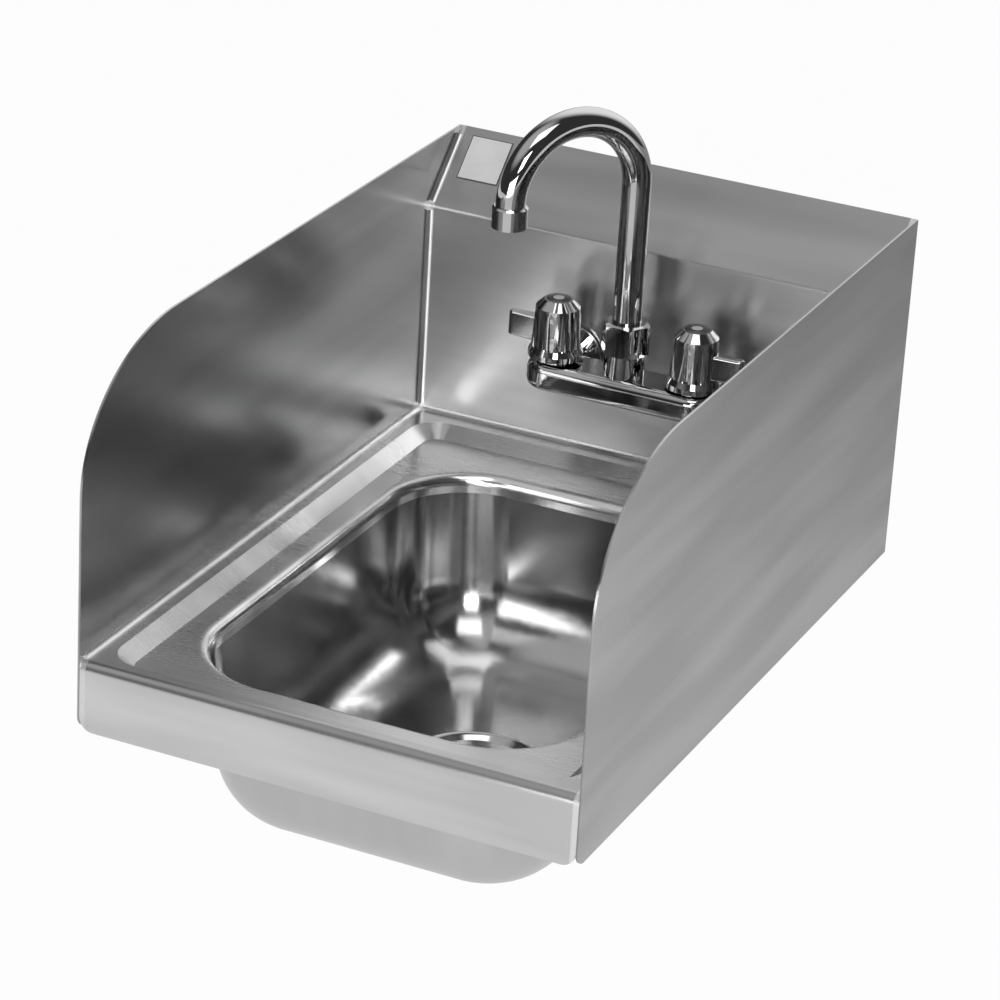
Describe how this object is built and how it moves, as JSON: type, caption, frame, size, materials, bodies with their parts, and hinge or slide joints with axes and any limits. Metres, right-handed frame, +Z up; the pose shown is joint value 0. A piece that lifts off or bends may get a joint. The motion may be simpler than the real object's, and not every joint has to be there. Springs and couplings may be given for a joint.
{
  "type": "wall-hung hand basin",
  "caption": "Wall-hung stainless hand basin with side splashes, sunken deck, drawn bowl, drain, and a splash-mounted faucet with lever handles and a swivelling gooseneck spout.",
  "frame": {"origin": "on the wall plane, midway between the two screws of the wall bracket", "axes": "+X to the user's right, +Y into the wall, +Z up; the basin reaches towards -Y"},
  "size_m": [0.324, 0.49, 0.4325],
  "materials": {
    "stainless_sheet": "brushed stainless sheet with polished welds",
    "stainless_bowl": "deep-drawn stainless bowl, polished inside",
    "chrome_plate": "mirror chrome plating over brass castings",
    "polished_drain": "polished stainless drain fittings and screws",
    "raw_brass": "turned brass, unplated",
    "black_rubber": "moulded black rubber seals",
    "pale_plastic": "off-white acetal and fibre washers",
    "index_plastic": "plain grey snap-in buttons without marks",
    "valve_ceramic": "lapped alumina discs"
  },
  "bodies": {
    "basin": {"deck": "stainless_sheet", "bowl": "stainless_bowl", "backsplash": "stainless_sheet", "left_side_splash": "stainless_sheet", "right_side_splash": "stainless_sheet", "wall_bracket": "stainless_sheet", "faucet_body": "chrome_plate", "drain_body": "polished_drain", "strainer_plate": "polished_drain", "strainer_screw": "polished_drain", "drain_seal": "black_rubber", "drain_gasket": "black_rubber", "drain_friction_washer": "pale_plastic", "drain_locknut": "raw_brass", "spout_nut": "chrome_plate", "spout_thrust_washer": "pale_plastic", "hot_inlet_shank": "raw_brass", "hot_escutcheon": "chrome_plate", "hot_splash_gasket": "black_rubber", "hot_shank_washer": "polished_drain", "hot_shank_locknut": "raw_brass", "hot_seat_seal": "black_rubber", "hot_fixed_disc": "valve_ceramic", "hot_valve_bonnet": "raw_brass", "cold_inlet_shank": "raw_brass", "cold_escutcheon": "chrome_plate", "cold_splash_gasket": "black_rubber", "cold_shank_washer": "polished_drain", "cold_shank_locknut": "raw_brass", "cold_seat_seal": "black_rubber", "cold_fixed_disc": "valve_ceramic", "cold_valve_bonnet": "raw_brass"},
    "spout": {"spout_tube": "chrome_plate", "spout_collar": "raw_brass", "spout_seals": "black_rubber", "aerator_housing": "chrome_plate", "aerator_insert": "pale_plastic", "aerator_washer": "black_rubber"},
    "hot_control": {"hot_moving_disc": "valve_ceramic", "hot_valve_stem": "raw_brass", "hot_handle": "chrome_plate", "hot_handle_screw": "polished_drain", "hot_index_button": "index_plastic"},
    "cold_control": {"cold_moving_disc": "valve_ceramic", "cold_valve_stem": "raw_brass", "cold_handle": "chrome_plate", "cold_handle_screw": "polished_drain", "cold_index_button": "index_plastic"}
  },
  "joints": [
    {"name": "spout_swivel", "type": "hinge", "parent": "basin", "child": "spout", "pos_m": [0, -0.079, 0], "axis": [0, 0, 1], "range_deg": [-78, 142]},
    {"name": "hot_handle_turn", "type": "hinge", "parent": "basin", "child": "hot_control", "pos_m": [-0.0485, -0.079, 0], "axis": [0, 0, 1], "range_deg": [0, 90]},
    {"name": "cold_handle_turn", "type": "hinge", "parent": "basin", "child": "cold_control", "pos_m": [0.0485, -0.079, 0], "axis": [0, 0, 1], "range_deg": [-90, 0]}
  ]
}
